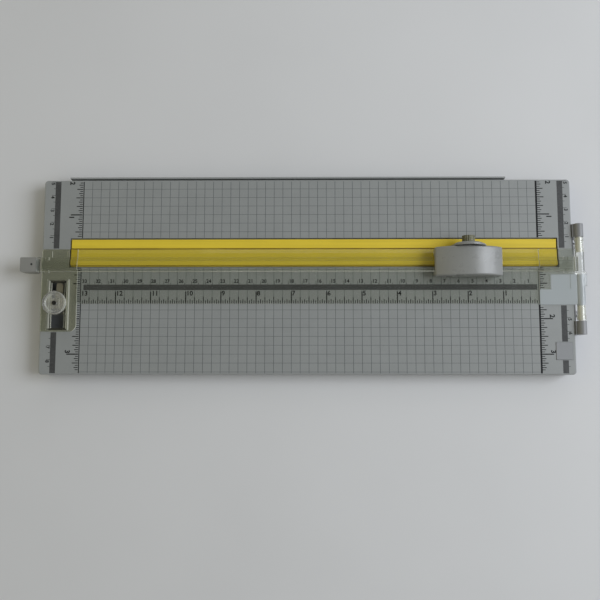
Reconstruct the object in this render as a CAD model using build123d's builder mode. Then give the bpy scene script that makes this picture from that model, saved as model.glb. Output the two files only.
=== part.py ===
"""Portable rotary paper trimmer with a hinged clear cutting rail, in millimetres.

Row frame: +X along the cut from the latch end to the hinge end, +Y to the rear of the deck, +Z up,
with the origin under the middle of the whole object, on the table.

Places are given in ruler coordinates, as they are read on the trimmer itself: x from the zero line of
the ruler (negative towards the latch), y from the cut line (negative towards the user) and z from the
top of the deck. The plane "deck" and the helpers below turn them into the row frame.
"""

from build123d import *
import os

os.makedirs("parts", exist_ok=True)

# ---------------------------------------------------------------- driving dimensions
INCH = 25.4
RULER_LENGTH = 13 * INCH

BASE_LEFT = -359.2
BASE_RIGHT = 25.1
BASE_FRONT = -90.8
BASE_REAR = 51.1
CORNER = 2.6
DECK_HEIGHT = 14.0          # deck top above the table
FOOT_HEIGHT = 1.6
DECK = 2.5                  # thickness of the deck plate
WALL = 2.0                  # thickness of the base walls
SHELL_BOTTOM = FOOT_HEIGHT - DECK_HEIGHT
COVER_TOP = -11.0

SLOT = (-339.0, 14.6, -13.8, 8.0)       # recess of the cutting strip: left, right, front, rear
STRIP_GAP = 0.9
STRIP_LEDGE = 0.9           # step along the strip's front edge
STRIP_TOP = -0.2
STRIP_BOTTOM = -3.0
GROOVE_HALF_WIDTH = 0.5

ARM_REAR = -0.5             # cutting edge of the clear rail
ARM_FRONT = -40.0
ARM_BOTTOM = 0.3
ARM_TOP = 2.3
FLANGE_LEFT = -332.6
RIDGE_LEFT = -360.7
RIDGE_RIGHT = 24.6
HEAD_FRONT = -17.4          # T-shaped head of the rail that the carriage runs on
HEAD_REAR = -7.0
NECK_FRONT = -15.4
NECK_REAR = -9.4
HEAD_BOTTOM = 4.6
HEAD_TOP = 6.3

HINGE_X = 29.5
HINGE_Z = 1.3
PIN_RADIUS = 2.0
RUNNING_FIT = 0.05
KNUCKLE_RADIUS = 3.3
KNUCKLES = ((-62.2, -52.6), (8.1, 17.7))
BARREL_RADIUS = 3.2
SLEEVE_RADIUS = 2.8
COLLARS = ((-52.0, -48.5), (5.0, 7.6))
LUG_REACH = 4.3
BRACKET_PLATE = 2.5
BRACKET_SCREW_Y = (-47.0, -22.0, 3.0)
BRACKET_SCREW_Z = -7.3

TAB_LEFT = -372.8
TAB_RIGHT = -361.4
TAB_FRONT = -17.3
TAB_REAR = -6.9
TAB_TOP = 6.0
TAB_PIN = (-364.6, -11.9)
TENON_LEFT = -367.0

LATCH_X = -346.7
LATCH_Y = -39.9
APERTURE = (-354.6, -339.6, -59.0, -23.0)
KNOB_RADIUS = 8.35
KNOB_BOTTOM = 5.8

CARRIAGE_X = -52.0
RUNNER_HALF = 17.0
CARRIAGE_TRAVEL = (-283.4, 51.9)        # from its place at CARRIAGE_X
STOP_GAP = 0.2
STOP_LENGTH = 2.8
STOP_ROWS = ((-18.0, -15.9), (-8.9, -6.8))
STOP_TOP = 4.2
DOME_HALF = 23.9
DOME_FRONT = -21.3
DOME_REAR = -0.6
DOME_BOTTOM = 5.1
DOME_SHOULDER = 10.6
DOME_TOP = 18.5
DOME_WALL = 1.7
BLADE_RADIUS = 9.0
BLADE_HALF_THICKNESS = 0.15
PRESS_TRAVEL = 2.0
AXLE_Z = 10.6
BOLT_RADIUS = 1.75
SPRING_X = (-62.0, -42.0)
SPRING_Y = -12.3
SPRING_BOTTOM = 8.2
SPRING_TOP = 14.3

ARM_PIVOT = (-349.0, 43.2)  # pivot of the swing-out extension ruler
EXTENSION = (-355.0, -21.0, 33.0, 53.5)
LIP_LEFT = -340.7           # where the rim clears the deck as the ruler turns
LIP_FRONT = 52.4            # rim along the ruler's rear edge, a gap behind the deck
LIP_TOP = -0.6
EXTENSION_TOP = -3.1
EXTENSION_BOTTOM = -8.1
PIVOT_RADIUS = 3.0

COVER_SCREWS = (
    (-345, -80), (-240, -80), (-115, -80), (14, -80),
    (-345, 20), (-240, 20), (-115, 20), (14, 43),
)
FEET = ((-330, -76), (-166, -76), (0, -76), (-330, 38), (-166, 38), (2, 38))

# ---------------------------------------------------------------- the ruler frame in the row frame
WHOLE_LEFT = TAB_LEFT
WHOLE_RIGHT = HINGE_X + LUG_REACH
WHOLE_FRONT = BASE_FRONT
WHOLE_REAR = EXTENSION[3]
DATUM = Vector(-(WHOLE_LEFT + WHOLE_RIGHT) / 2, -(WHOLE_FRONT + WHOLE_REAR) / 2, DECK_HEIGHT)
deck = Plane(origin=DATUM)


def cross_plane(x):
    """The upright plane across the rail at ruler x: its own x is the ruler's y, its own y is up."""
    return Plane(origin=DATUM + Vector(x, 0, 0), x_dir=(0, 1, 0), z_dir=(1, 0, 0))


def side_plane(y):
    """The upright plane along the rail at ruler y, facing the user: its own x is the ruler's x."""
    return Plane(origin=DATUM + Vector(0, y, 0), x_dir=(1, 0, 0), z_dir=(0, -1, 0))


def outline(left, right, front, rear, corner=0.0):
    """Adds a rectangle to the current sketch, given by its four edges."""
    with Locations(((left + right) / 2, (front + rear) / 2)):
        if corner:
            RectangleRounded(right - left, rear - front, corner)
        else:
            Rectangle(right - left, rear - front)


def block(left, right, front, rear, bottom, top, mode=Mode.ADD):
    """Adds a box to the current part, or cuts one from it, given by its six faces."""
    middle = DATUM + Vector((left + right) / 2, (front + rear) / 2, (bottom + top) / 2)
    with Locations(middle):
        Box(right - left, rear - front, top - bottom, mode=mode)


def post(points, radius, bottom, top, mode=Mode.ADD):
    """Upright cylinders at the given ruler points."""
    middles = [DATUM + Vector(x, y, (bottom + top) / 2) for x, y in points]
    with Locations(*middles):
        Cylinder(radius, top - bottom, mode=mode)


def bar(x, z, radius, front, rear, mode=Mode.ADD):
    """A cylinder that lies along Y."""
    with Locations(DATUM + Vector(x, (front + rear) / 2, z)):
        Cylinder(radius, rear - front, rotation=(90, 0, 0), mode=mode)


def dowel(points, radius, left, right, mode=Mode.ADD):
    """Cylinders that lie along X, at the given (y, z) points."""
    middles = [DATUM + Vector((left + right) / 2, y, z) for y, z in points]
    with Locations(*middles):
        Cylinder(radius, right - left, rotation=(0, 90, 0), mode=mode)


def save(part, name):
    """Labels a finished piece and writes its STEP file."""
    part.label = name
    export_step(part, f"parts/{name}.step")


# ================================================================ BASE
# Deck with its skirt: one moulding, hollow from below, with the recess of the cutting strip, the
# aperture of the latch, and an open pocket along the rear edge for the swing-out ruler.
POCKET_FRONT = 29.3
POCKET_BOTTOM = -9.0
POCKET_RIGHT = -20.0
RIB = 1.3
with BuildPart() as base_shell:
    with BuildSketch(deck.offset(SHELL_BOTTOM)):
        outline(BASE_LEFT, BASE_RIGHT, BASE_FRONT, BASE_REAR, CORNER)
    extrude(amount=-SHELL_BOTTOM)
    fillet(base_shell.edges().group_by(Axis.Z)[-1], radius=0.8)
    with BuildSketch(deck.offset(SHELL_BOTTOM)):
        outline(BASE_LEFT + WALL, BASE_RIGHT - WALL, BASE_FRONT + WALL, BASE_REAR - WALL, CORNER - WALL)
    extrude(amount=-SHELL_BOTTOM - DECK, mode=Mode.SUBTRACT)
    # cross ribs and two long ribs under the deck
    for index in range(8):
        rib_x = -312 + 42 * index
        block(rib_x, rib_x + RIB, BASE_FRONT + 1, POCKET_FRONT - 0.5, -8.0, -DECK)
    for rib_y in (-62, -36):
        block(APERTURE[1] + 1, BASE_RIGHT - 1, rib_y, rib_y + RIB, -7.0, -DECK)
    # thicker bed under the cutting strip
    block(SLOT[0] - 2, SLOT[1] + 2, SLOT[2] - 2, SLOT[3] + 2, STRIP_BOTTOM - 1.6, -DECK)
    block(*SLOT, STRIP_BOTTOM, 1, mode=Mode.SUBTRACT)
    # aperture that the latch hook reaches into, with a wall round three sides
    block(APERTURE[0] - RIB, APERTURE[0], APERTURE[2] - RIB, APERTURE[3], -6.5, -DECK)
    block(APERTURE[1], APERTURE[1] + RIB, APERTURE[2] - RIB, APERTURE[3], -6.5, -DECK)
    block(APERTURE[0], APERTURE[1], APERTURE[2] - RIB, APERTURE[2], -6.5, -DECK)
    block(*APERTURE, -7, 1, mode=Mode.SUBTRACT)
    # pocket of the swing-out ruler: inner wall, end wall, openings in the rear and left skirt
    block(BASE_LEFT + 1, POCKET_RIGHT + RIB, POCKET_FRONT - RIB, POCKET_FRONT, COVER_TOP, -DECK)
    block(POCKET_RIGHT, POCKET_RIGHT + RIB, POCKET_FRONT - RIB, BASE_REAR - 1, COVER_TOP, -DECK)
    block(BASE_LEFT - 1, POCKET_RIGHT, BASE_REAR - WALL - 0.1, BASE_REAR + 1, POCKET_BOTTOM, -DECK,
          mode=Mode.SUBTRACT)
    block(BASE_LEFT - 1, BASE_LEFT + WALL + 0.1, POCKET_FRONT, BASE_REAR + 1, POCKET_BOTTOM, -DECK,
          mode=Mode.SUBTRACT)
    # clear corner that the ruler's rounded end sweeps through
    block(BASE_LEFT - 1, BASE_LEFT + 2 * WALL, BASE_REAR - 2 * WALL, BASE_REAR + 1, POCKET_BOTTOM, -DECK,
          mode=Mode.SUBTRACT)
    # pivot boss of the ruler and bosses of the cover screws
    post([ARM_PIVOT], PIVOT_RADIUS, EXTENSION_BOTTOM - 0.3, -DECK)
    post([ARM_PIVOT], 1.2, EXTENSION_BOTTOM - 1, -3.6, mode=Mode.SUBTRACT)
    post(COVER_SCREWS, 3.5, COVER_TOP, -DECK)
    post(COVER_SCREWS, 1.25, COVER_TOP - 1, -4.0, mode=Mode.SUBTRACT)
    # bosses of the hinge bracket's screws
    bracket_screws_at = [(y, BRACKET_SCREW_Z) for y in BRACKET_SCREW_Y]
    dowel(bracket_screws_at, 3.0, 14.0, BASE_RIGHT - 1)
    dowel(bracket_screws_at, 1.25, 15.0, BASE_RIGHT + 1, mode=Mode.SUBTRACT)
    # shallow seat of the badge
    block(10.75, 22.9, -80.3, -67.5, -0.3, 1, mode=Mode.SUBTRACT)
save(base_shell.part, "base_shell")

# Floor plate, screwed up inside the skirt.
with BuildPart() as bottom_cover:
    with BuildSketch(deck.offset(SHELL_BOTTOM)):
        outline(BASE_LEFT + WALL + 0.3, BASE_RIGHT - WALL - 0.3, BASE_FRONT + WALL + 0.3,
                BASE_REAR - WALL - 0.3, 1.5)
        with Locations(*COVER_SCREWS):
            Circle(1.6, mode=Mode.SUBTRACT)
    extrude(amount=COVER_TOP - SHELL_BOTTOM)
save(bottom_cover.part, "bottom_cover")

# Pan-head screws of the floor plate, with a cross recess.
with BuildPart() as cover_screws:
    post(COVER_SCREWS, 1.2, SHELL_BOTTOM, -5.0)
    post(COVER_SCREWS, 2.8, SHELL_BOTTOM - 0.9, SHELL_BOTTOM)
    for x, y in COVER_SCREWS:
        block(x - 1.6, x + 1.6, y - 0.3, y + 0.3, SHELL_BOTTOM - 1, SHELL_BOTTOM - 0.3, mode=Mode.SUBTRACT)
        block(x - 0.3, x + 0.3, y - 1.6, y + 1.6, SHELL_BOTTOM - 1, SHELL_BOTTOM - 0.3, mode=Mode.SUBTRACT)
save(cover_screws.part, "cover_screws")

# Rubber feet under the floor plate.
with BuildPart() as rubber_feet:
    post(FEET, 6.0, -DECK_HEIGHT, SHELL_BOTTOM)
    chamfer(rubber_feet.edges().group_by(Axis.Z)[0], length=0.4)
save(rubber_feet.part, "rubber_feet")

# Replaceable cutting strip, with the groove that the blade runs in.
with BuildPart() as cutting_strip:
    block(SLOT[0] + STRIP_GAP, SLOT[1] - STRIP_GAP, SLOT[2] + STRIP_GAP, SLOT[3] - STRIP_GAP,
          STRIP_BOTTOM, STRIP_TOP)
    chamfer(cutting_strip.edges().group_by(Axis.Z)[-1], length=0.3)
    block(SLOT[0], SLOT[1], SLOT[2], SLOT[2] + STRIP_GAP + STRIP_LEDGE, STRIP_TOP - 2.0, 1,
          mode=Mode.SUBTRACT)
    block(SLOT[0], SLOT[1], -GROOVE_HALF_WIDTH, GROOVE_HALF_WIDTH, STRIP_TOP - 0.5, 1, mode=Mode.SUBTRACT)
save(cutting_strip.part, "cutting_strip")

# Plain square badge at the front right corner.
with BuildPart() as badge_plate:
    with BuildSketch(deck.offset(-0.3)):
        outline(10.9, 22.75, -80.15, -67.65, 0.8)
    extrude(amount=0.7)
    chamfer(badge_plate.edges().group_by(Axis.Z)[-1], length=0.2)
save(badge_plate.part, "badge_plate")

# Hinge bracket on the right skirt: a plate and two tall knuckles that carry the pins.
with BuildPart() as hinge_bracket:
    block(BASE_RIGHT, BASE_RIGHT + BRACKET_PLATE, KNUCKLES[0][0], KNUCKLES[1][1], -12.0, -4.6)
    for front, rear in KNUCKLES:
        bar(HINGE_X, HINGE_Z, KNUCKLE_RADIUS, front, rear)
        block(BASE_RIGHT, HINGE_X + KNUCKLE_RADIUS, front, rear, -12.0, HINGE_Z)
    bar(HINGE_X, HINGE_Z, PIN_RADIUS, KNUCKLES[0][0] + 1.0, KNUCKLES[1][1] - 1.0, mode=Mode.SUBTRACT)
    dowel(bracket_screws_at, 1.6, BASE_RIGHT - 1, BASE_RIGHT + 4, mode=Mode.SUBTRACT)
save(hinge_bracket.part, "hinge_bracket")

# Screws of the hinge bracket, into the bosses behind the skirt.
with BuildPart() as bracket_screws:
    dowel(bracket_screws_at, 1.2, 16.0, BASE_RIGHT + BRACKET_PLATE)
    dowel(bracket_screws_at, 2.5, BASE_RIGHT + BRACKET_PLATE, BASE_RIGHT + BRACKET_PLATE + 1.5)
save(bracket_screws.part, "bracket_screws")

# Two short nylon pins of the rail's hinge, pressed into the knuckles.
PINS = ((KNUCKLES[0][0] + 1.0, -38.0), (-3.0, KNUCKLES[1][1] - 1.0))
with BuildPart() as hinge_pins:
    for front, rear in PINS:
        bar(HINGE_X, HINGE_Z, PIN_RADIUS, front, rear)
save(hinge_pins.part, "hinge_pins")

# Washer and screw that hold the swing-out ruler on its pivot.
with BuildPart() as pivot_washer:
    post([ARM_PIVOT], 5.0, EXTENSION_BOTTOM - 0.8, EXTENSION_BOTTOM - 0.3)
    post([ARM_PIVOT], 1.3, EXTENSION_BOTTOM - 1, EXTENSION_BOTTOM, mode=Mode.SUBTRACT)
save(pivot_washer.part, "pivot_washer")

with BuildPart() as pivot_screw:
    post([ARM_PIVOT], 1.2, EXTENSION_BOTTOM - 0.8, -4.0)
    post([ARM_PIVOT], 3.6, EXTENSION_BOTTOM - 2.2, EXTENSION_BOTTOM - 0.8)
save(pivot_screw.part, "pivot_screw")

# Swing-out extension ruler: a channel with a solid pivot end.
with BuildPart() as extension_arm:
    with BuildSketch(deck.offset(EXTENSION_BOTTOM)):
        outline(*EXTENSION, 3.0)
    extrude(amount=EXTENSION_TOP - EXTENSION_BOTTOM)
    block(-333.0, EXTENSION[1] - 1.8, EXTENSION[2] + 1.8, EXTENSION[3] - 1.8, EXTENSION_BOTTOM - 1,
          EXTENSION_TOP - 1.8, mode=Mode.SUBTRACT)
    for index in range(7):
        web_x = -300 + 40 * index
        block(web_x, web_x + RIB, EXTENSION[2] + 1, EXTENSION[3] - 1, EXTENSION_BOTTOM, EXTENSION_TOP - 1)
    # rim behind the deck's rear edge, with a groove before it
    block(LIP_LEFT, EXTENSION[1] - 0.5, LIP_FRONT, EXTENSION[3], EXTENSION_TOP - 1, LIP_TOP)
    block(LIP_LEFT, EXTENSION[1] - 0.5, BASE_REAR, LIP_FRONT, EXTENSION_TOP - 1.1, 0,
          mode=Mode.SUBTRACT)
    block(EXTENSION[0] - 1, LIP_LEFT, BASE_REAR + 0.4, EXTENSION[3] + 1, EXTENSION_BOTTOM - 1, 0,
          mode=Mode.SUBTRACT)
    post([ARM_PIVOT], PIVOT_RADIUS + RUNNING_FIT, EXTENSION_BOTTOM - 1, 0, mode=Mode.SUBTRACT)
save(extension_arm.part, "extension_arm")

# ================================================================ RAIL ARM
# Clear rail: a flat flange that holds the paper down, and a T-shaped ridge for the carriage.
with BuildPart() as clear_rail:
    with BuildSketch(cross_plane(FLANGE_LEFT)):
        with BuildLine():
            Polyline(
                (ARM_FRONT, ARM_BOTTOM), (ARM_REAR, ARM_BOTTOM), (ARM_REAR, ARM_BOTTOM + 0.8),
                (ARM_REAR - 3.0, ARM_TOP), (ARM_FRONT + 0.5, ARM_TOP), (ARM_FRONT, ARM_TOP - 0.5),
                close=True,
            )
        make_face()
    extrude(amount=-FLANGE_LEFT)
    with BuildSketch(cross_plane(RIDGE_LEFT)):
        with BuildLine():
            Polyline(
                (NECK_FRONT, ARM_TOP), (NECK_REAR, ARM_TOP), (NECK_REAR, HEAD_BOTTOM),
                (HEAD_REAR, HEAD_BOTTOM), (HEAD_REAR, HEAD_TOP - 0.4), (HEAD_REAR - 0.4, HEAD_TOP),
                (HEAD_FRONT + 0.4, HEAD_TOP), (HEAD_FRONT, HEAD_TOP - 0.4), (HEAD_FRONT, HEAD_BOTTOM),
                (NECK_FRONT, HEAD_BOTTOM), close=True,
            )
        make_face()
    extrude(amount=RIDGE_RIGHT - RIDGE_LEFT)
    # tenon that carries the lift tab
    block(TENON_LEFT, RIDGE_LEFT, -15.0, -9.0, ARM_TOP + 0.3, HEAD_TOP - 0.9)
    post([TAB_PIN], 0.8, 0, 8, mode=Mode.SUBTRACT)
save(clear_rail.part, "clear_rail")

# Lift tab on the free end of the rail: flat on top and round below, hanging beside the base.
with BuildPart() as lift_tab:
    tab_radius = (TAB_RIGHT - TAB_LEFT) / 2
    tab_x = (TAB_RIGHT + TAB_LEFT) / 2
    tab_axis_z = -2.2
    with BuildSketch(side_plane(TAB_REAR)):
        with BuildLine():
            Polyline((TAB_LEFT, tab_axis_z), (TAB_LEFT, TAB_TOP), (TAB_RIGHT, TAB_TOP),
                     (TAB_RIGHT, tab_axis_z))
            ThreePointArc((TAB_RIGHT, tab_axis_z), (tab_x, tab_axis_z - tab_radius), (TAB_LEFT, tab_axis_z))
        make_face()
    extrude(amount=TAB_REAR - TAB_FRONT)
    fillet(lift_tab.edges().filter_by(Axis.Z), radius=0.8)
    block(TENON_LEFT, TAB_RIGHT + 1, -15.0, -9.0, ARM_TOP + 0.3, HEAD_TOP - 0.9, mode=Mode.SUBTRACT)
    post([TAB_PIN], 0.8, 0, 8, mode=Mode.SUBTRACT)
save(lift_tab.part, "lift_tab")

# Pin through the tab and the tenon, sunk a little below the top.
with BuildPart() as tab_pin:
    post([TAB_PIN], 0.8, 0, TAB_TOP - 0.5)
save(tab_pin.part, "tab_pin")

# Latch block on the free end: a clear plate under the ridge, with a raised frame for the slider.
FRAME = (-352.8, -337.6, -59.3, -22.6)
FRAME_WALL = 1.2
FRAME_TOP = 5.5
LATCH_PLATE_LEFT = -358.2
SEAT = 0.1                  # bond line under the ridge
with BuildPart() as latch_block:
    with BuildSketch(deck.offset(ARM_BOTTOM)) as plate:
        outline(LATCH_PLATE_LEFT, FLANGE_LEFT, -60.1, ARM_REAR)
        fillet(plate.vertices().sort_by(Axis.Y)[:2].sort_by(Axis.X)[-1], radius=5.0)
        fillet(plate.vertices().sort_by(Axis.X)[:2], radius=1.2)
    extrude(amount=ARM_TOP - ARM_BOTTOM)
    block(*FRAME, ARM_TOP, FRAME_TOP)
    block(FRAME[0] + FRAME_WALL, FRAME[1] - FRAME_WALL, FRAME[2] + FRAME_WALL, FRAME[3] - FRAME_WALL,
          ARM_TOP, FRAME_TOP + 1, mode=Mode.SUBTRACT)
    # slot that the latch passes through
    block(-350.9, -341.2, -57.6, -25.0, ARM_BOTTOM - 1, ARM_TOP + 1, mode=Mode.SUBTRACT)
    # shallow rimmed window behind the ridge
    block(-352.0, -338.6, -6.6, -0.9, ARM_TOP, ARM_TOP + 0.4)
    block(-350.9, -339.7, -6.6, -1.9, ARM_TOP - 0.8, ARM_TOP + 1, mode=Mode.SUBTRACT)
    # seat of the ridge, and the stops that the carriage's runner meets
    block(LATCH_PLATE_LEFT - 1, FLANGE_LEFT, NECK_FRONT - 0.1, NECK_REAR + 0.1, ARM_TOP - SEAT, ARM_TOP + 1,
          mode=Mode.SUBTRACT)
    left_stop = CARRIAGE_X + CARRIAGE_TRAVEL[0] - RUNNER_HALF - STOP_GAP
    for front, rear in STOP_ROWS:
        block(left_stop - STOP_LENGTH, left_stop, front, rear, ARM_TOP - SEAT, STOP_TOP)
save(latch_block.part, "latch_block")

# Hinge block: clear plate, barrel between the pins, collars, stop at the end of the ridge, and a lug.
HINGE_PLATE_TOP = 2.7
with BuildPart() as hinge_block:
    block(0, HINGE_X, -40.9, ARM_REAR, ARM_BOTTOM, HINGE_PLATE_TOP)
    block(0, RIDGE_RIGHT, HEAD_FRONT - 0.3, HEAD_REAR + 0.3, ARM_TOP - SEAT, HINGE_PLATE_TOP + 1,
          mode=Mode.SUBTRACT)
    right_stop = CARRIAGE_X + CARRIAGE_TRAVEL[1] + RUNNER_HALF + STOP_GAP
    for front, rear in STOP_ROWS:
        block(right_stop, right_stop + STOP_LENGTH, front, rear, ARM_TOP - SEAT, STOP_TOP)
    block(7.1, 22.2, -29.6, -19.5, HINGE_PLATE_TOP - 0.7, HINGE_PLATE_TOP + 1, mode=Mode.SUBTRACT)
    block(RIDGE_RIGHT, RIDGE_RIGHT + 2.0, HEAD_FRONT, HEAD_REAR, ARM_TOP, HEAD_TOP)
    bar(HINGE_X, HINGE_Z, BARREL_RADIUS, -40.9, ARM_REAR)
    bar(HINGE_X, HINGE_Z, SLEEVE_RADIUS, COLLARS[0][0], COLLARS[1][1])
    for front, rear in COLLARS:
        bar(HINGE_X, HINGE_Z, BARREL_RADIUS, front, rear)
    with BuildSketch(side_plane(-17.5)):
        with BuildLine():
            Polyline(
                (HINGE_X, HINGE_Z - 3.0), (HINGE_X + 3.4, HINGE_Z - 2.8),
                (HINGE_X + LUG_REACH, HINGE_Z - 1.6), (HINGE_X + LUG_REACH, HINGE_Z + 1.6),
                (HINGE_X + 3.4, HINGE_Z + 2.8), (HINGE_X, HINGE_Z + 3.0), close=True,
            )
        make_face()
    extrude(amount=10.0)
    for front, rear in ((-53.0, PINS[0][1] + 0.2), (PINS[1][0] - 0.2, 9.0)):
        bar(HINGE_X, HINGE_Z, PIN_RADIUS + RUNNING_FIT, front, rear, mode=Mode.SUBTRACT)
save(hinge_block.part, "hinge_block")

# ================================================================ LATCH
# Slider plate in the frame, with a neck down through the slot.
with BuildPart() as latch_slider:
    with BuildSketch(deck.offset(ARM_TOP + 0.3)):
        outline(FRAME[0] + FRAME_WALL + 0.3, FRAME[1] - FRAME_WALL - 0.3, LATCH_Y - 8.2, LATCH_Y + 8.2, 1.5)
    extrude(amount=2.0)
    post([(LATCH_X, LATCH_Y)], 3.2, ARM_TOP + 2.3, KNOB_BOTTOM - 0.05)
    block(LATCH_X - 2.3, LATCH_X + 2.3, LATCH_Y - 4.0, LATCH_Y + 4.0, 0.0, ARM_TOP + 0.3)
    post([(LATCH_X, LATCH_Y)], 1.2, -1, 7, mode=Mode.SUBTRACT)
save(latch_slider.part, "latch_slider")

# Hook under the plate: a shoulder that keeps the slider down, and a tongue that goes under the deck.
TONGUE_TOP = -2.8
TONGUE_BOTTOM = -4.8
with BuildPart() as latch_hook:
    block(-352.8, -340.4, LATCH_Y - 4.0, LATCH_Y + 4.0, -1.4, 0.0)
    block(LATCH_X - 2.3, LATCH_X + 2.3, LATCH_Y - 4.0, LATCH_Y + 4.0, TONGUE_TOP, -1.4)
    with BuildSketch(deck.offset(TONGUE_BOTTOM)):
        outline(LATCH_X - 2.3, LATCH_X + 2.3, LATCH_Y - 4.0, -24.6, 1.8)
    extrude(amount=TONGUE_TOP - TONGUE_BOTTOM)
    post([(LATCH_X, LATCH_Y)], 1.2, -4.2, 1, mode=Mode.SUBTRACT)
save(latch_hook.part, "latch_hook")

# Round clear knob with a dished top.
with BuildPart() as latch_knob:
    with BuildSketch(Plane(origin=DATUM + Vector(LATCH_X, LATCH_Y, 0), x_dir=(1, 0, 0), z_dir=(0, -1, 0))):
        with BuildLine():
            Polyline(
                (1.2, KNOB_BOTTOM), (KNOB_RADIUS - 0.8, KNOB_BOTTOM), (KNOB_RADIUS, 6.6), (KNOB_RADIUS, 8.1),
                (KNOB_RADIUS - 0.7, 8.8), (6.5, 8.8), (5.8, 7.6), (2.6, 7.2), (1.2, 7.2), close=True,
            )
        make_face()
    revolve(axis=Axis(DATUM + Vector(LATCH_X, LATCH_Y, 0), (0, 0, 1)))
save(latch_knob.part, "latch_knob")

# Rivet that holds knob, slider and hook together.
with BuildPart() as latch_rivet:
    post([(LATCH_X, LATCH_Y)], 1.2, -4.2, 7.2)
    post([(LATCH_X, LATCH_Y)], 1.5, 7.2, 7.7)
save(latch_rivet.part, "latch_rivet")

# ================================================================ CARRIAGE
# Runner: wraps the head of the ridge, with lips below it and ledges that keep the housing on.
RUNNER_LEFT = CARRIAGE_X - RUNNER_HALF
RUNNER_RIGHT = CARRIAGE_X + RUNNER_HALF
with BuildPart() as carriage_runner:
    block(RUNNER_LEFT, RUNNER_RIGHT, -19.3, -5.0, 3.0, 8.2)
    block(RUNNER_LEFT - 1, RUNNER_RIGHT + 1, HEAD_FRONT - 0.3, HEAD_REAR + 0.3, HEAD_BOTTOM - 0.3,
          HEAD_TOP + 0.2, mode=Mode.SUBTRACT)
    block(RUNNER_LEFT - 1, RUNNER_RIGHT + 1, NECK_FRONT - 0.4, NECK_REAR + 0.4, 0, HEAD_BOTTOM,
          mode=Mode.SUBTRACT)
    block(RUNNER_LEFT + 3, RUNNER_RIGHT - 3, -5.0, -3.0, 6.9, 8.2)
    # notch under the bolt's boss
    block(CARRIAGE_X - 4.4, CARRIAGE_X + 4.4, -6.9, -2.0, 4.7, 9, mode=Mode.SUBTRACT)
    # spring seats
    post([(x, SPRING_Y) for x in SPRING_X], 3.2, SPRING_BOTTOM, SPRING_BOTTOM + 1.0)
    post([(x, SPRING_Y) for x in SPRING_X], 2.6, SPRING_BOTTOM, SPRING_BOTTOM + 2.0, mode=Mode.SUBTRACT)
save(carriage_runner.part, "carriage_runner")

# Housing: a low dome that the thumb presses down, with the boss of the blade bolt and snap teeth.
DOME_LEFT = CARRIAGE_X - DOME_HALF
DOME_RIGHT = CARRIAGE_X + DOME_HALF
with BuildPart() as carriage_dome:
    with BuildSketch(side_plane(DOME_REAR)) as dome_side:
        with BuildLine():
            Polyline((DOME_LEFT, DOME_SHOULDER), (DOME_LEFT, DOME_BOTTOM), (DOME_RIGHT, DOME_BOTTOM),
                     (DOME_RIGHT, DOME_SHOULDER))
            ThreePointArc((DOME_RIGHT, DOME_SHOULDER), (CARRIAGE_X, DOME_TOP), (DOME_LEFT, DOME_SHOULDER))
        make_face()
        fillet(dome_side.vertices().group_by(Axis.Y)[-1], radius=2.5)
    extrude(amount=DOME_REAR - DOME_FRONT)
    rims = carriage_dome.edges().filter_by_position(Axis.Z, DECK_HEIGHT + DOME_BOTTOM + 0.5, 999)
    rims = rims.filter_by(lambda edge: edge.geom_type != GeomType.LINE or edge.length < 6)
    fillet(rims, radius=1.3)
    with BuildSketch(side_plane(DOME_REAR - DOME_WALL)):
        with BuildLine():
            Polyline((DOME_LEFT + DOME_WALL, DOME_SHOULDER), (DOME_LEFT + DOME_WALL, 0),
                     (DOME_RIGHT - DOME_WALL, 0), (DOME_RIGHT - DOME_WALL, DOME_SHOULDER))
            ThreePointArc((DOME_RIGHT - DOME_WALL, DOME_SHOULDER), (CARRIAGE_X, DOME_TOP - DOME_WALL),
                          (DOME_LEFT + DOME_WALL, DOME_SHOULDER))
        make_face()
    extrude(amount=DOME_REAR - DOME_FRONT - 2 * DOME_WALL + 0.1, mode=Mode.SUBTRACT)
    # arches in the end walls that clear the ridge when the housing is down
    block(DOME_LEFT - 1, DOME_RIGHT + 1, HEAD_FRONT - 0.4, HEAD_REAR + 0.4, DOME_BOTTOM - 1,
          HEAD_TOP + PRESS_TRAVEL + 0.4, mode=Mode.SUBTRACT)
    # spigots that the springs sit on
    post([(x, SPRING_Y) for x in SPRING_X], 1.3, 12.0, 15.5)
    # boss of the blade bolt, behind the rear wall
    bar(CARRIAGE_X, AXLE_Z, 3.4, -6.6, -1.5)
    bar(CARRIAGE_X, AXLE_Z, 2.4, -7.0, -2.6, mode=Mode.SUBTRACT)
    bar(CARRIAGE_X, AXLE_Z, BOLT_RADIUS, -7.0, 0, mode=Mode.SUBTRACT)
    # snap teeth under the runner's ledge
    for tooth in (CARRIAGE_X - 11.0, CARRIAGE_X + 7.0):
        block(tooth, tooth + 4.0, -4.4, -2.2, DOME_BOTTOM, 6.6)
save(carriage_dome.part, "carriage_dome")

# Brass insert in the boss.
with BuildPart() as threaded_insert:
    bar(CARRIAGE_X, AXLE_Z, 2.4, -6.5, -2.6)
    bar(CARRIAGE_X, AXLE_Z, BOLT_RADIUS, -7.0, 0, mode=Mode.SUBTRACT)
save(threaded_insert.part, "threaded_insert")

# Springs that lift the housing off its stop.
with BuildPart() as press_springs:
    wire = 0.35
    height = SPRING_TOP - SPRING_BOTTOM - 2 * wire
    for x in SPRING_X:
        foot = DATUM + Vector(x, SPRING_Y, SPRING_BOTTOM + wire)
        coil = Helix(pitch=height / 4, height=height, radius=1.9, center=foot)
        with BuildSketch(Plane(origin=coil @ 0, z_dir=coil % 0)) as section:
            Circle(wire)
        sweep(section.sketch, path=coil)
save(press_springs.part, "press_springs")

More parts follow.
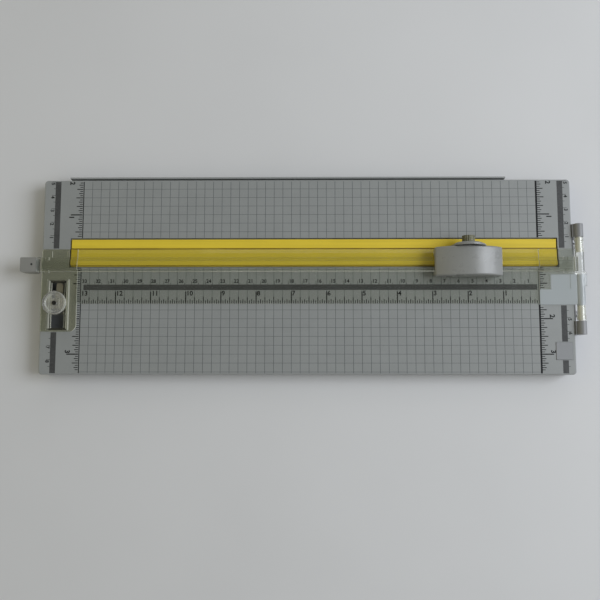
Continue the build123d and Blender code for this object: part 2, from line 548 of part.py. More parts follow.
# Blade guard: a shallow cone over the blade, open below.
GUARD_RADIUS = 12.25
GUARD_FACE_RADIUS = 9.2
GUARD_BORE = BLADE_RADIUS + 0.4
GUARD_LIP = -0.4
GUARD_FRONT = 0.45
GUARD_REAR = 2.0
with BuildPart() as blade_guard:
    with BuildSketch(cross_plane(CARRIAGE_X)) as half_section:
        with BuildLine():
            Polyline(
                (GUARD_FRONT, AXLE_Z), (GUARD_FRONT, AXLE_Z + GUARD_BORE),
                (GUARD_LIP, AXLE_Z + GUARD_BORE), (GUARD_LIP, AXLE_Z + GUARD_RADIUS),
                (GUARD_FRONT, AXLE_Z + GUARD_RADIUS), (GUARD_REAR, AXLE_Z + GUARD_FACE_RADIUS),
                (GUARD_REAR, AXLE_Z), close=True,
            )
        make_face()
    revolve(axis=Axis(DATUM + Vector(CARRIAGE_X, 0, AXLE_Z), (0, 1, 0)))
    block(CARRIAGE_X - 20, CARRIAGE_X + 20, -5, 5, -20, 3.5, mode=Mode.SUBTRACT)
    bar(CARRIAGE_X, AXLE_Z, BOLT_RADIUS, -5, 5, mode=Mode.SUBTRACT)
save(blade_guard.part, "blade_guard")

# Round blade, ground to an edge from both sides, on its bush.
BLADE_HOLE = 3.0
BLADE_BEVEL = 0.9
with BuildPart() as rotary_blade:
    with BuildSketch(cross_plane(CARRIAGE_X)):
        with BuildLine():
            Polyline(
                (-BLADE_HALF_THICKNESS, AXLE_Z + BLADE_HOLE),
                (-BLADE_HALF_THICKNESS, AXLE_Z + BLADE_RADIUS - BLADE_BEVEL),
                (0, AXLE_Z + BLADE_RADIUS),
                (BLADE_HALF_THICKNESS, AXLE_Z + BLADE_RADIUS - BLADE_BEVEL),
                (BLADE_HALF_THICKNESS, AXLE_Z + BLADE_HOLE), close=True,
            )
        make_face()
    revolve(axis=Axis(DATUM + Vector(CARRIAGE_X, 0, AXLE_Z), (0, 1, 0)))
save(rotary_blade.part, "rotary_blade")

with BuildPart() as blade_bush:
    bar(CARRIAGE_X, AXLE_Z, BLADE_HOLE - RUNNING_FIT, DOME_REAR, GUARD_FRONT)
    bar(CARRIAGE_X, AXLE_Z, BOLT_RADIUS, -5, 5, mode=Mode.SUBTRACT)
save(blade_bush.part, "blade_bush")

# Knurled thumb bolt that holds the guard and the blade.
THUMB_RADIUS = 4.45
with BuildPart() as thumb_bolt:
    bar(CARRIAGE_X, AXLE_Z, BOLT_RADIUS, -6.3, GUARD_REAR)
    with BuildSketch(side_plane(7.3)):
        with Locations((CARRIAGE_X, AXLE_Z)):
            Circle(THUMB_RADIUS)
            with PolarLocations(THUMB_RADIUS + 0.25, 20):
                Circle(0.5, mode=Mode.SUBTRACT)
    extrude(amount=7.3 - GUARD_REAR)
save(thumb_bolt.part, "thumb_bolt")
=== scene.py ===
"""Looks of the portable rotary paper trimmer: a finish for every CAD piece, the printed ruler and
grid as thin ink, and the floor, light and camera.

Places are ruler coordinates in millimetres, as they are read on the trimmer itself: x from the
zero line of the ruler, y from the cut line and z from the top of the deck. spot() turns them into
metres in the row frame. Lights are placed in metres in the row frame itself.
"""
import math

import bmesh
import bpy
from mathutils import Matrix, Vector


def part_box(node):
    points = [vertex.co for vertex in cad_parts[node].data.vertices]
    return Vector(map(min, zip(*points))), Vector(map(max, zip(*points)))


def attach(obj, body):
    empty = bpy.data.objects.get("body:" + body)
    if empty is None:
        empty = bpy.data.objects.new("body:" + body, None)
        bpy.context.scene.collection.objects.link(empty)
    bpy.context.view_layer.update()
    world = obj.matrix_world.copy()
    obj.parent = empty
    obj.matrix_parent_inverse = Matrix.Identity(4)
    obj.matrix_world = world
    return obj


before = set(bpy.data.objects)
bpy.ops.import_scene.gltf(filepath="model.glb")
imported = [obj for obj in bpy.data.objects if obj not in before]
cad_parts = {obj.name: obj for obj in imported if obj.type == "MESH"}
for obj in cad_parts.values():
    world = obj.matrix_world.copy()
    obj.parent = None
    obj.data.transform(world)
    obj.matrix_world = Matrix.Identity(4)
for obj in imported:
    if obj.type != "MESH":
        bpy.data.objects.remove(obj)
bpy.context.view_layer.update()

# ---------------------------------------------------------------- ruler coordinates
MM = 0.001
INCH = 25.4
RULER_INCHES = 13
GRID_STEP = INCH / 4

blade_low, blade_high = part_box("rotary_blade")
cut_line = (blade_low.y + blade_high.y) / 2
RULER_ZERO = Vector((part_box("hinge_block")[0].x, cut_line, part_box("base_shell")[1].z))


def spot(x, y, z=0.0):
    """The point in the row frame of a place in ruler millimetres."""
    return RULER_ZERO + Vector((x, y, z)) * MM


def ruler_box(node):
    """Left, right, front and rear of a CAD node in ruler millimetres."""
    low, high = ((corner - RULER_ZERO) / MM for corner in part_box(node))
    return low.x, high.x, low.y, high.y


_, _, BASE_FRONT, BASE_REAR = ruler_box("base_shell")
_, _, STRIP_FRONT, STRIP_REAR = ruler_box("cutting_strip")
_, _, BADGE_FRONT, BADGE_REAR = ruler_box("badge_plate")
RULER_LEFT = -RULER_INCHES * INCH


# ---------------------------------------------------------------- materials
PATCH_FADE = 0.3            # millimetres of soft edge round a frosted patch
SCRATCH_WIDTH = 0.5         # millimetres
SIDE_GLOW_CLOUD = 0.55           # painted edge glow: how far the upright faces of clear plastic are stained grey and made less clear
FROST_CLOUD = 0.72          # how far from clear its frosted patches are


def srgb(red, green, blue):
    """Linear colour of 8-bit sRGB values."""
    linear = []
    for value in (red / 255, green / 255, blue / 255):
        linear.append(value / 12.92 if value <= 0.04045 else ((value + 0.055) / 1.055) ** 2.4)
    return (*linear, 1.0)


def shade(colour, factor):
    """The colour made lighter or darker."""
    return (*(min(channel * factor, 1.0) for channel in colour[:3]), 1.0)


def map_range(tree, value, low, high, to_low, to_high):
    """Adds a Map Range node to a node tree and gives its result."""
    node = tree.nodes.new("ShaderNodeMapRange")
    sockets = {"From Min": low, "From Max": high, "To Min": to_low, "To Max": to_high}
    for socket, number in sockets.items():
        node.inputs[socket].default_value = number
    tree.links.new(value, node.inputs["Value"])
    return node.outputs["Result"]


class Finish:
    """A Principled material and the layers that the pieces' surfaces are made from."""

    MIX_FACTOR, MIX_A, MIX_B, MIX_RESULT = 0, 6, 7, 2

    def __init__(self, name, colour, roughness, **values):
        self.material = bpy.data.materials.new(name)
        self.material.use_nodes = True
        self.tree = self.material.node_tree
        self.shader = self.tree.nodes["Principled BSDF"]
        self.shader.inputs["Base Color"].default_value = colour
        self.shader.inputs["Roughness"].default_value = roughness
        for socket, value in values.items():
            self.shader.inputs[socket.replace("_", " ")].default_value = value
        coordinates = self.tree.nodes.new("ShaderNodeTexCoord")
        self.place = coordinates.outputs["Object"]
        self.facing = coordinates.outputs["Normal"]
        self.base = colour
        self.colour = None      # the socket of the last stain
        self.normal = None      # the socket of the last bump

    def link(self, source, target):
        self.tree.links.new(source, target)

    def noise(self, grain_mm, detail=3.0, stretch=(1, 1, 1), turn=0.0):
        """Noise in patches about grain_mm wide; a stretch of 10 makes them 10 times as long."""
        mapping = self.tree.nodes.new("ShaderNodeMapping")
        mapping.inputs["Scale"].default_value = [1 / amount for amount in stretch]
        mapping.inputs["Rotation"].default_value = (0, 0, math.radians(turn))
        texture = self.tree.nodes.new("ShaderNodeTexNoise")
        texture.inputs["Scale"].default_value = 1 / (grain_mm * MM)
        texture.inputs["Detail"].default_value = detail
        self.link(self.place, mapping.inputs["Vector"])
        self.link(mapping.outputs["Vector"], texture.inputs["Vector"])
        return texture.outputs["Fac"]

    def remap(self, value, low, high, to_low=0.0, to_high=1.0):
        """The value's part from low to high, spread over to_low to to_high."""
        return map_range(self.tree, value, low, high, to_low, to_high)

    def calc(self, operation, *values):
        """The result of a Math node; each value is a socket or a number."""
        node = self.tree.nodes.new("ShaderNodeMath")
        node.operation = operation
        for value, socket in zip(values, node.inputs):
            if isinstance(value, float):
                socket.default_value = value
            else:
                self.link(value, socket)
        return node.outputs["Value"]

    def axis(self, vector, name):
        """One of the X, Y and Z parts of a vector socket."""
        parts = self.tree.nodes.new("ShaderNodeSeparateXYZ")
        self.link(vector, parts.inputs["Vector"])
        return parts.outputs[name]

    def near(self, axis, centre, half_width, fade):
        """1 within half_width millimetres of a plane across the axis, and 0 past the fade."""
        away = self.calc("ABSOLUTE", self.calc("SUBTRACT", self.axis(self.place, axis), centre))
        return self.remap(away, half_width * MM, (half_width + fade) * MM, 1.0, 0.0)

    def patch(self, left, right, front, rear):
        """1 inside a rectangle of the ruler's plane, in ruler millimetres, and 0 outside."""
        centre = spot((left + right) / 2, (front + rear) / 2)
        across = self.near("X", centre.x, (right - left) / 2, PATCH_FADE)
        along = self.near("Y", centre.y, (rear - front) / 2, PATCH_FADE)
        return self.calc("MULTIPLY", across, along)

    def upright(self):
        """1 on faces that stand upright on the piece, and 0 on level ones."""
        return self.remap(self.calc("ABSOLUTE", self.axis(self.facing, "Z")), 0.3, 0.6, 1.0, 0.0)

    def stain(self, factor, colour):
        """Mixes a colour over the base where the factor is high."""
        mix = self.tree.nodes.new("ShaderNodeMix")
        mix.data_type = "RGBA"
        self.link(factor, mix.inputs[self.MIX_FACTOR])
        if self.colour:
            self.link(self.colour, mix.inputs[self.MIX_A])
        else:
            mix.inputs[self.MIX_A].default_value = self.base
        mix.inputs[self.MIX_B].default_value = colour
        self.colour = mix.outputs[self.MIX_RESULT]
        self.link(self.colour, self.shader.inputs["Base Color"])

    def mottle(self, grain_mm, dark, light, stretch=(1, 1, 1)):
        """Soft uneven tone between the base made darker and the base made lighter."""
        patches = self.noise(grain_mm, 4.0, stretch)
        self.stain(self.remap(patches, 0.5, 0.72), shade(self.base, light))
        self.stain(self.remap(patches, 0.5, 0.28), shade(self.base, dark))

    def bump(self, height, depth_mm, strength=1.0):
        """Adds relief of about depth_mm over what is there."""
        node = self.tree.nodes.new("ShaderNodeBump")
        node.inputs["Strength"].default_value = strength
        node.inputs["Distance"].default_value = depth_mm * MM
        self.link(height, node.inputs["Height"])
        if self.normal:
            self.link(self.normal, node.inputs["Normal"])
        self.normal = node.outputs["Normal"]
        self.link(self.normal, self.shader.inputs["Normal"])

    def polish(self, grain_mm, low, high, stretch=(1, 1, 1)):
        """Roughness that wanders from low to high."""
        rough = self.remap(self.noise(grain_mm, 3.0, stretch), 0.3, 0.7, low, high)
        self.link(rough, self.shader.inputs["Roughness"])

    def scratches(self, length_mm, turn, share, depth_mm, colour=None):
        """Fine straight scratches; share is the noise level above which there is one."""
        stretch = (length_mm / SCRATCH_WIDTH, 1, 1)
        lines = self.remap(self.noise(SCRATCH_WIDTH, 1.0, stretch, turn), share, share + 0.06)
        if colour:
            self.stain(self.remap(lines, 0.0, 1.0, 0.0, 0.35), colour)
        self.bump(lines, -depth_mm, 0.6)


def moulded(name, colour, roughness, grain_mm=0.45, depth_mm=0.012, **values):
    """A spark-eroded injection moulding: fine grain, uneven tone and uneven shine."""
    finish = Finish(name, colour, roughness, IOR=1.5, **values)
    finish.mottle(18.0, 0.955, 1.04)
    finish.mottle(1.6, 0.985, 1.015)
    finish.polish(7.0, roughness - 0.06, roughness + 0.07)
    finish.bump(finish.noise(grain_mm, 2.0), depth_mm, 0.5)
    return finish


def deck_finish():
    """Grey ruled deck: fine grain, and hair scratches from years of paper."""
    finish = moulded("deck_plastic", srgb(148, 151, 150), 0.44)
    worn = srgb(168, 171, 170)
    finish.scratches(28.0, 4.0, 0.74, 0.01, worn)
    finish.scratches(40.0, 86.0, 0.75, 0.01, worn)
    finish.scratches(22.0, 38.0, 0.765, 0.008)
    return finish.material


def strip_finish():
    """Yellow strip: softer plastic, streaked along the cut and scored by the blade."""
    yellow = srgb(229, 202, 60)
    finish = moulded("strip_plastic", yellow, 0.5, 0.8, 0.01, Specular_IOR_Level=0.35)
    finish.mottle(2.2, 0.93, 1.05, (45, 1, 1))
    cut = finish.near("Y", RULER_ZERO.y, 0.35, 0.5)
    worn = finish.remap(finish.noise(3.0, 4.0, (20, 1, 1)), 0.35, 0.6, 0.35, 0.9)
    finish.stain(finish.calc("MULTIPLY", cut, worn), srgb(120, 96, 34))
    finish.scratches(60.0, 0.0, 0.73, 0.012)
    return finish.material


def clear_finish(name, tint, roughness, clearness=1.0, frosted=()):
    """Clear polished plastic; light on its way to what is below passes straight through, tinted.

    Its upright faces are stained grey and made less clear as a painted edge glow, which stands in
    for light piped through their edges; the frosted patches, each left, right, front, rear, are
    less clear too.
    """
    finish = Finish(name, tint, roughness, IOR=1.49)
    # painted edge glow: a grey stain and less transmission on the upright faces stand in for light
    # piped through the edges
    edge_glow_and_frost = finish.remap(finish.upright(), 0.0, 1.0, 0.0, SIDE_GLOW_CLOUD)
    finish.stain(edge_glow_and_frost, EDGE_GLOW_TINT)
    for rectangle in frosted:
        frost = finish.patch(*rectangle)
        finish.stain(frost, FROST_TINT)
        edge_glow_and_frost = finish.calc("MAXIMUM", edge_glow_and_frost, finish.remap(frost, 0.0, 1.0, 0.0, FROST_CLOUD))
    through_weight = finish.remap(edge_glow_and_frost, 0.0, 1.0, clearness, 0.0)
    finish.link(through_weight, finish.shader.inputs["Transmission Weight"])
    finish.polish(6.0, roughness, roughness + 0.05)
    finish.bump(finish.noise(9.0, 2.0), 0.02, 0.35)
    hairlines = finish.remap(finish.noise(0.4, 1.0, (50, 1, 1), 3.0), 0.75, 0.8)
    finish.bump(hairlines, -0.006, 0.5)
    nodes = finish.tree.nodes
    rays = nodes.new("ShaderNodeLightPath")
    passing = nodes.new("ShaderNodeBsdfTransparent")
    passing.inputs["Color"].default_value = CLEAR_SHADOW
    surface = finish.shader.outputs["BSDF"]
    for kind in ("Is Diffuse Ray", "Is Shadow Ray"):
        mix = nodes.new("ShaderNodeMixShader")
        finish.link(rays.outputs[kind], mix.inputs["Fac"])
        finish.link(surface, mix.inputs[1])
        finish.link(passing.outputs["BSDF"], mix.inputs[2])
        surface = mix.outputs["Shader"]
    finish.link(surface, nodes["Material Output"].inputs["Surface"])
    return finish.material


def metal(name, colour, roughness, brushed=(1, 1, 1)):
    """Plated or ground metal with a brushed grain."""
    finish = Finish(name, colour, roughness, Metallic=1.0)
    finish.mottle(3.0, 0.9, 1.06)
    finish.polish(1.0, roughness - 0.05, roughness + 0.1, brushed)
    finish.bump(finish.noise(0.12, 2.0, brushed), 0.004, 0.5)
    return finish.material


def rubber_finish():
    """Black rubber with a dusty grain."""
    finish = Finish("rubber", srgb(44, 44, 45), 0.8)
    finish.mottle(3.0, 0.8, 1.3)
    finish.bump(finish.noise(0.3, 3.0), 0.03, 0.6)
    return finish.material


def ink_finish(name, colour):
    """Screen-printed ink, a little broken up where it has worn."""
    finish = Finish(name, colour, 0.5, Specular_IOR_Level=0.25)
    finish.mottle(0.9, 0.8, 1.35)
    finish.mottle(14.0, 0.9, 1.25)
    finish.polish(2.0, 0.42, 0.6)
    return finish.material


CLEAR_TINT = (0.89, 0.90, 0.85, 1.0)
CLEAR_SHADOW = (0.90, 0.905, 0.885, 1.0)    # what is left of the light that passes through
OLIVE_TINT = (0.77, 0.755, 0.59, 1.0)
KNOB_TINT = (0.88, 0.88, 0.84, 1.0)
# painted edge glow: the grey stained onto the upright faces of clear plastic
EDGE_GLOW_TINT = (0.62, 0.63, 0.57, 1.0)
FROST_TINT = srgb(184, 190, 192)
# the hinge block's frosted patches: its field beside the barrel, and its front left part
HINGE_FROST = ((8.6, 40.0, -41.5, -19.3), (-1.0, 9.0, -41.5, -30.2))
deck_plastic = deck_finish()
cover_plastic = moulded("cover_plastic", srgb(112, 114, 116), 0.55, 0.7, 0.02).material
badge_plastic = moulded("badge_plastic", srgb(142, 144, 146), 0.4).material
hinge_plastic = moulded("hinge_plastic", srgb(138, 139, 140), 0.4).material
carriage_plastic = moulded("carriage_plastic", srgb(144, 145, 142), 0.3, 0.35, 0.006).material
tab_plastic = moulded("tab_plastic", srgb(138, 138, 134), 0.4, 0.35, 0.008).material
runner_plastic = moulded("runner_plastic", srgb(232, 231, 226), 0.35).material
# painted shade: the hook's own beige is darkened to the shade it lies in, deep under the latch
# block
hook_plastic = moulded("hook_plastic", srgb(128, 122, 104), 0.42).material
clear_plastic = clear_finish("clear_plastic", CLEAR_TINT, 0.04)
olive_plastic = clear_finish("olive_plastic", OLIVE_TINT, 0.05)
knob_plastic = clear_finish("knob_plastic", KNOB_TINT, 0.12, clearness=0.88)
frosted_plastic = clear_finish("frosted_plastic", CLEAR_TINT, 0.06, frosted=HINGE_FROST)
steel = metal("steel", (0.56, 0.56, 0.57, 1.0), 0.3)
# partly painted shade: the pins' black finish also stands in for the dark of the holes they sit in
black_steel = metal("black_steel", (0.05, 0.05, 0.05, 1.0), 0.45)
blade_steel = metal("blade_steel", (0.66, 0.67, 0.69, 1.0), 0.18, (1, 1, 12))
brass = metal("brass", (0.72, 0.52, 0.22, 1.0), 0.3)
bronze = metal("bronze", srgb(116, 115, 98), 0.52)
rubber = rubber_finish()
black_ink = ink_finish("black_ink", srgb(12, 13, 14))
grey_ink = ink_finish("grey_ink", srgb(73, 74, 74))
line_ink = ink_finish("line_ink", srgb(88, 92, 94))

FINISHES = {
    deck_plastic: ("base_shell", "extension_arm"),
    cover_plastic: ("bottom_cover",),
    badge_plastic: ("badge_plate",),
    hinge_plastic: ("hinge_bracket",),
    carriage_plastic: ("carriage_dome", "blade_guard"),
    tab_plastic: ("lift_tab",),
    runner_plastic: ("carriage_runner", "blade_bush", "hinge_pins"),
    hook_plastic: ("latch_hook",),
    clear_plastic: ("clear_rail", "latch_slider"),
    olive_plastic: ("latch_block",),
    knob_plastic: ("latch_knob",),
    frosted_plastic: ("hinge_block",),
    steel: ("cover_screws", "bracket_screws", "pivot_washer", "pivot_screw", "press_springs"),
    black_steel: ("tab_pin", "latch_rivet"),
    blade_steel: ("rotary_blade",),
    brass: ("threaded_insert",),
    bronze: ("thumb_bolt",),
    rubber: ("rubber_feet",),
    strip_finish(): ("cutting_strip",),
}
for finish_material, names in FINISHES.items():
    for node_name in names:
        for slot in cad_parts[node_name].material_slots:
            slot.material = finish_material


# ---------------------------------------------------------------- print
INK_ROOT = -0.02            # the ink's underside, just in the plastic
GRID_ALONG_TOP = 0.018      # each layer of ink stands a little above the one before
GRID_ACROSS_TOP = 0.022
BAND_TOP = 0.027
BORDER_TOP = 0.032
TICK_TOP = 0.036
NUMERAL_TOP = 0.040


def add_piece(name, mesh, material, body):
    """Makes an object of the bmesh with the material, which rides on the body."""
    data = bpy.data.meshes.new(name)
    mesh.to_mesh(data)
    mesh.free()
    data.materials.append(material)
    piece = bpy.data.objects.new(name, data)
    bpy.context.scene.collection.objects.link(piece)
    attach(piece, body)


def plates(name, rectangles, top, material, body="base", level=0.0):
    """Thin flat plates of ink in one mesh. A rectangle is left, right, front, rear."""
    mesh = bmesh.new()
    for left, right, front, rear in rectangles:
        corners = ((left, front), (right, front), (right, rear), (left, rear))
        lower = [mesh.verts.new(spot(x, y, level + INK_ROOT)) for x, y in corners]
        upper = [mesh.verts.new(spot(x, y, level + top)) for x, y in corners]
        mesh.faces.new(reversed(lower))
        mesh.faces.new(upper)
        for index in range(4):
            after = (index + 1) % 4
            mesh.faces.new((lower[index], lower[after], upper[after], upper[index]))
    add_piece(name, mesh, material, body)


def numeral_mesh(text):
    """Mesh of a numeral in the built-in font, drawn at unit size with its sides."""
    curve = bpy.data.curves.new("numeral", "FONT")
    curve.body = text
    curve.resolution_u = 4
    curve.extrude = 0.01
    curve.offset = 0.03         # makes the strokes bolder
    holder = bpy.data.objects.new("numeral", curve)
    mesh = bpy.data.meshes.new_from_object(holder)
    bpy.data.objects.remove(holder)
    return mesh


def numerals(name, marks, height, material, body="base", level=0.0):
    """Numerals in one mesh. A mark is text, x, y of its middle, and its turn in degrees."""
    mesh = bmesh.new()
    drawn = {}
    for text, x, y, turn in marks:
        if text not in drawn:
            drawn[text] = numeral_mesh(text)
        known = len(mesh.verts)
        mesh.from_mesh(drawn[text])
        mesh.verts.ensure_lookup_table()
        fresh = mesh.verts[known:]
        low_x, high_x = min(v.co.x for v in fresh), max(v.co.x for v in fresh)
        low_y, high_y = min(v.co.y for v in fresh), max(v.co.y for v in fresh)
        middle = Vector(((low_x + high_x) / 2, (low_y + high_y) / 2))
        scale = height / (high_y - low_y)
        rotation = Matrix.Rotation(math.radians(turn), 2)
        for vertex in fresh:
            flat = rotation @ ((vertex.co.xy - middle) * scale)
            z = level + (NUMERAL_TOP if vertex.co.z > 0 else INK_ROOT)
            vertex.co = spot(x + flat.x, y + flat.y, z)
    bmesh.ops.remove_doubles(mesh, verts=mesh.verts, dist=1e-7)
    add_piece(name, mesh, material, body)


def line_x(x, width, front, rear):
    """A line along y at x, as a rectangle."""
    return (x - width / 2, x + width / 2, front, rear)


def line_y(y, width, left, right):
    """A line along x at y, as a rectangle."""
    return (left, right, y - width / 2, y + width / 2)


PRINT_FRONT = BASE_FRONT + 1.0
PRINT_REAR = BASE_REAR - 1.0
SLOT_CLEAR = 1.05           # from the strip, over the gap round it, to the print
BELOW_SLOT = STRIP_FRONT - SLOT_CLEAR
ABOVE_SLOT = STRIP_REAR + SLOT_CLEAR
ALONG_WIDTH, ACROSS_WIDTH = 0.2, 0.28       # the grid's lines
BORDER_LEFT, BORDER_RIGHT = RULER_LEFT, 0.3
BORDERS = ((BORDER_LEFT, 0.6), (BORDER_RIGHT, 1.3))     # place, width

# the ruler across the deck, in front of the cut
RULER_BASELINE = -39.7
BAND_FRONT, BAND_REAR = -30.1, -26.1
# inch ticks: every so many sixteenths, length, width
TICKS = ((16, 8.5, 0.8), (8, 4.8, 0.62), (4, 4.3, 0.6), (2, 2.9, 0.55), (1, 2.1, 0.48))
HALF_CM = 5.0
CM_LENGTH, HALF_CM_LENGTH, CM_WIDTH = 2.6, 1.3, 0.25
INCH_HEIGHT, INCH_Y = 3.6, -32.4            # its numerals
CM_HEIGHT, CM_Y = 2.75, -23.6

# the rulers up and down both ends of the deck
SIDE_GAP = 0.6              # from a border line to the ticks
SIDE_BANDS = ((-351.1, -347.0), (15.5, 19.6))
SIDE_INCH_HEIGHT, SIDE_CM_HEIGHT = 3.7, 2.7
BADGE_GAP = 0.4             # from the badge to the band
# the deck under the rail's end blocks has no band or numerals, and shorter ticks
LATCH_REST = (-60.5, 0.5)
HINGE_REST = (-41.3, 0.5)
UNDER_LENGTH = 5.0          # the longest tick there
UNDER_FRONT = -29.0         # in front of this the latch end has only its shortest ticks
UNDER_FRONT_LENGTHS = {-1: 2.1, 1: 0.0}     # and the hinge end none

# the swing-out ruler
RIM_HEIGHT = 2.5            # its rim above its face
PIVOT_INSET = 6.0           # from its end to its pivot
EXTENSION_TICK_SCALE = 0.7  # its ticks are this much of the deck's
EXTENSION_HEIGHT = 3.0      # its numerals


def tick_size(sixteenths):
    """Length and width of an inch tick."""
    return next((length, width) for step, length, width in TICKS if sixteenths % step == 0)


def cm_length(half):
    """Length of the tick at so many half centimetres."""
    return CM_LENGTH if half % 2 == 0 else HALF_CM_LENGTH


def rests_under(y, rest):
    """Whether y lies in the plain place under an end block."""
    return rest[0] < y < rest[1]


def past_slot(x, width):
    """A line along y at x, which stops at the strip's slot and goes on behind it."""
    yield line_x(x, width, PRINT_FRONT, BELOW_SLOT)
    yield line_x(x, width, ABOVE_SLOT, PRINT_REAR)


def grid():
    """Quarter-inch lines over the deck, and the border lines at both ends of the ruler."""
    steps_behind, steps_in_front = range(1, 9), range(-1, -16, -1)
    along = [y for y in (step * GRID_STEP for step in steps_behind) if ABOVE_SLOT < y < PRINT_REAR]
    along += [
        y for y in (step * GRID_STEP for step in steps_in_front)
        if PRINT_FRONT - 0.1 <= y < RULER_BASELINE - 2
    ]
    across = [-index * GRID_STEP for index in range(1, RULER_INCHES * 4)]
    rows = [line_y(y, ALONG_WIDTH, RULER_LEFT, 0) for y in along]
    columns = [line for x in across for line in past_slot(x, ACROSS_WIDTH)]
    borders = [line for x, width in BORDERS for line in past_slot(x, width)]
    plates("grid_along", rows, GRID_ALONG_TOP, line_ink)
    plates("grid_across", columns, GRID_ACROSS_TOP, line_ink)
    plates("grid_borders", borders, BORDER_TOP, black_ink)


def bands():
    """Dark bands that part the inch scales from the centimetre scales."""
    latch_end, hinge_end = SIDE_BANDS
    rectangles = [
        (RULER_LEFT + 2, -1.2, BAND_FRONT, BAND_REAR),
        (*latch_end, PRINT_FRONT, LATCH_REST[0]),
        (*latch_end, LATCH_REST[1], PRINT_REAR),
        (*hinge_end, PRINT_FRONT, BADGE_FRONT - BADGE_GAP),
        (*hinge_end, BADGE_REAR + BADGE_GAP, HINGE_REST[0]),
        (*hinge_end, HINGE_REST[1], PRINT_REAR),
    ]
    plates("ruler_bands", rectangles, BAND_TOP, grey_ink)


def main_ruler():
    """Inch ticks up from the baseline, centimetre ticks up from the band, and their numerals."""
    ticks = []
    for sixteenths in range(1, RULER_INCHES * 16):
        length, width = tick_size(sixteenths)
        x = -sixteenths * INCH / 16
        ticks.append(line_x(x, width, RULER_BASELINE, RULER_BASELINE + length))
    for half in range(1, 66):
        ticks.append(line_x(-half * HALF_CM, CM_WIDTH, BAND_REAR, BAND_REAR + cm_length(half)))
    plates("ruler_ticks", ticks, TICK_TOP, black_ink)
    inches = []
    for inch in range(1, RULER_INCHES + 1):
        x = -inch * INCH + (3.2 if inch > 9 else 1.7)
        inches.append((str(inch), x, INCH_Y, 0))
    numerals("inch_numerals", inches, INCH_HEIGHT, black_ink)
    centimetres = [(str(cm), -2 * HALF_CM * cm + 2.5, CM_Y, 0) for cm in range(1, 34)]
    numerals("centimetre_numerals", centimetres, CM_HEIGHT, black_ink)


def side_rulers():
    """Scales up and down both ends of the deck, measured from the cut line."""
    ticks, inches, centimetres = [], [], []
    # side is the way the ticks point: 1 is right, at the hinge, and -1 is left, at the latch
    for side, border, band_edge, inch_x, cm_x, rest in (
        (1, BORDER_RIGHT, SIDE_BANDS[1][1], 9.1, 21.6, HINGE_REST),
        (-1, BORDER_LEFT, SIDE_BANDS[0][0], -338.6, -352.9, LATCH_REST),
    ):
        for sixteenths in range(-55, 33):
            y = sixteenths * INCH / 16
            if BELOW_SLOT < y < ABOVE_SLOT or y > PRINT_REAR:
                continue
            length, width = tick_size(sixteenths)
            if rests_under(y, rest):
                front = y < UNDER_FRONT
                length = UNDER_FRONT_LENGTHS[side] if front else min(length, UNDER_LENGTH)
            if length:
                start = border + side * SIDE_GAP
                ticks.append(line_y(y, width, *sorted((start, start + side * length))))
        for half in range(-17, 11):
            y = half * HALF_CM
            badge = side == 1 and BADGE_FRONT - 0.5 < y < BADGE_REAR + 0.5
            if badge or rests_under(y, rest):
                continue
            ends = sorted((band_edge, band_edge + side * cm_length(half)))
            ticks.append(line_y(y, CM_WIDTH, *ends))
            if half % 2 == 0:
                centimetres.append((str(abs(half) // 2), cm_x, y - 1.4, -90))
        for inch in (-3, -2, -1, 1, 2):
            y = inch * INCH
            if not rests_under(y, rest):
                inches.append((str(abs(inch)), inch_x, y - math.copysign(1.8, inch), -90))
    plates("side_ruler_ticks", ticks, TICK_TOP, black_ink)
    numerals("side_inch_numerals", inches, SIDE_INCH_HEIGHT, black_ink)
    numerals("side_centimetre_numerals", centimetres, SIDE_CM_HEIGHT, black_ink)


def extension_scale():
    """Inch scale on the top of the swing-out ruler, which shows when it is swung out."""
    left, _, front, _ = ruler_box("extension_arm")
    level = (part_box("extension_arm")[1].z - RULER_ZERO.z) / MM - RIM_HEIGHT
    edge = front + 0.8
    ticks, marks = [], []
    for sixteenths in range(8, 196):
        length, width = tick_size(sixteenths)
        x = left + PIVOT_INSET + sixteenths * INCH / 16
        ticks.append(line_x(x, width, edge, edge + length * EXTENSION_TICK_SCALE))
        if sixteenths % 16 == 0:
            marks.append((str(sixteenths // 16), x + 2.4, front + 6.4, 0))
    plates("extension_ticks", ticks, TICK_TOP, black_ink, "extension", level)
    numerals("extension_numerals", marks, EXTENSION_HEIGHT, black_ink, "extension", level)


grid()
bands()
main_ruler()
side_rulers()
extension_scale()


# ---------------------------------------------------------------- floor, light and camera
FLOOR_REACH = 4.0
CEILING = (0.76, 0.9)       # heights where the walls end and where the ceiling starts
WALL_LIGHT, CEILING_LIGHT = 0.42, 0.1
LEFT_WALL = (0.965, 0.92, 0.69, 1.0)
RIGHT_WALL = (0.95, 0.99, 1.12, 1.0)
# a cool window on the right, a warm lamp far to the left, and panels in front and behind:
# name, place, size, power, colour
LIGHTS = (
    ("window", (1.05, 0.1, 0.9), 0.8, 11.0, (0.94, 0.98, 1.05)),
    ("lamp", (-1.2, 0.2, 0.8), 0.9, 1.0, (1.08, 0.98, 0.62)),
    ("front_panel", (0.0, -1.3, 0.25), 0.5, 0.2, (1, 1, 1)),
    ("back_panel", (0.2, 1.4, 0.6), 1.0, 1.5, (1, 1, 1)),
)
CAMERA_EYE = (-166.25, -87.7, 501.7)
CAMERA_AIM = (-171.6, -37.3, 0.0)
CAMERA_UP = (0.0007, 0.995, 0.1001)
CAMERA_LENS = 42.0


def make_floor():
    """A large pale floor under the feet."""
    finish = Finish("floor", (0.71, 0.715, 0.72, 1.0), 0.85)
    finish.mottle(160.0, 0.97, 1.02)
    data = bpy.data.meshes.new("floor")
    corners = [
        (x * FLOOR_REACH, y * FLOOR_REACH, 0) for x, y in ((-1, -1), (1, -1), (1, 1), (-1, 1))
    ]
    data.from_pydata(corners, [], [(0, 1, 2, 3)])
    data.materials.append(finish.material)
    floor = bpy.data.objects.new("floor", data)
    bpy.context.scene.collection.objects.link(floor)


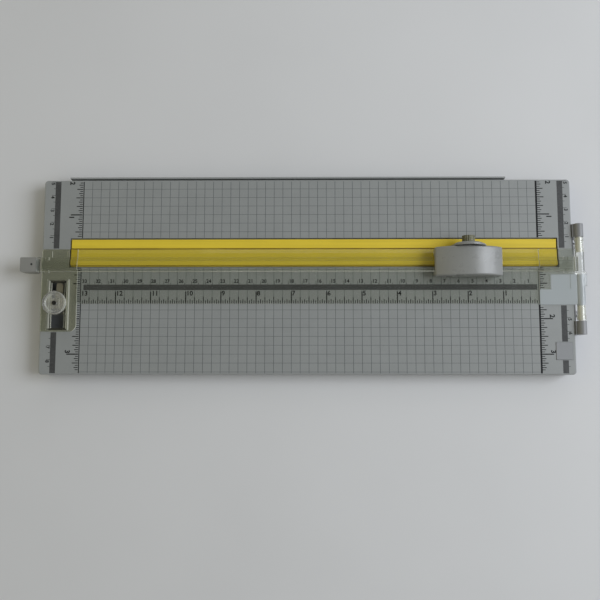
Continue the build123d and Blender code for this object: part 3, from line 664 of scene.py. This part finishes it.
def area_light(name, place, size, power, colour):
    """A square soft box at place, which shines at the origin under the trimmer."""
    data = bpy.data.lights.new(name, "AREA")
    data.size = size
    data.energy = power
    data.color = colour
    light = bpy.data.objects.new(name, data)
    light.location = place
    light.rotation_mode = "QUATERNION"
    light.rotation_quaternion = (Vector() - Vector(place)).to_track_quat("-Z", "Y")
    bpy.context.scene.collection.objects.link(light)


def make_world():
    """Pale walls all round, and a dim ceiling that keeps haze off the clear plastic."""
    world = bpy.data.worlds.new("studio")
    world.use_nodes = True
    tree = world.node_tree
    nodes, links = tree.nodes, tree.links
    direction = nodes.new("ShaderNodeTexCoord").outputs["Generated"]
    parts = nodes.new("ShaderNodeSeparateXYZ")
    links.new(direction, parts.inputs["Vector"])
    strength = map_range(tree, parts.outputs["Z"], *CEILING, WALL_LIGHT, CEILING_LIGHT)
    side = map_range(tree, parts.outputs["X"], -0.8, 0.8, 0.0, 1.0)
    walls = nodes.new("ShaderNodeMix")
    walls.data_type = "RGBA"
    walls.inputs[Finish.MIX_A].default_value = LEFT_WALL
    walls.inputs[Finish.MIX_B].default_value = RIGHT_WALL
    links.new(side, walls.inputs[Finish.MIX_FACTOR])
    background = nodes["Background"]
    links.new(walls.outputs[Finish.MIX_RESULT], background.inputs["Color"])
    links.new(strength, background.inputs["Strength"])
    bpy.context.scene.world = world


def make_camera():
    """Above the front half of the deck, looking almost straight down."""
    eye = spot(*CAMERA_EYE)
    back = (eye - spot(*CAMERA_AIM)).normalized()
    right = Vector(CAMERA_UP).cross(back).normalized()
    rotation = Matrix((right, back.cross(right), back)).transposed().to_4x4()
    data = bpy.data.cameras.new("camera")
    data.sensor_width = 36.0
    data.lens = CAMERA_LENS
    data.clip_start = 0.01
    data.clip_end = 20.0
    camera = bpy.data.objects.new("camera", data)
    camera.matrix_world = Matrix.Translation(eye) @ rotation
    bpy.context.scene.collection.objects.link(camera)
    bpy.context.scene.camera = camera


make_floor()
make_world()
for light_values in LIGHTS:
    area_light(*light_values)
make_camera()
bpy.context.scene.view_settings.view_transform = "Standard"
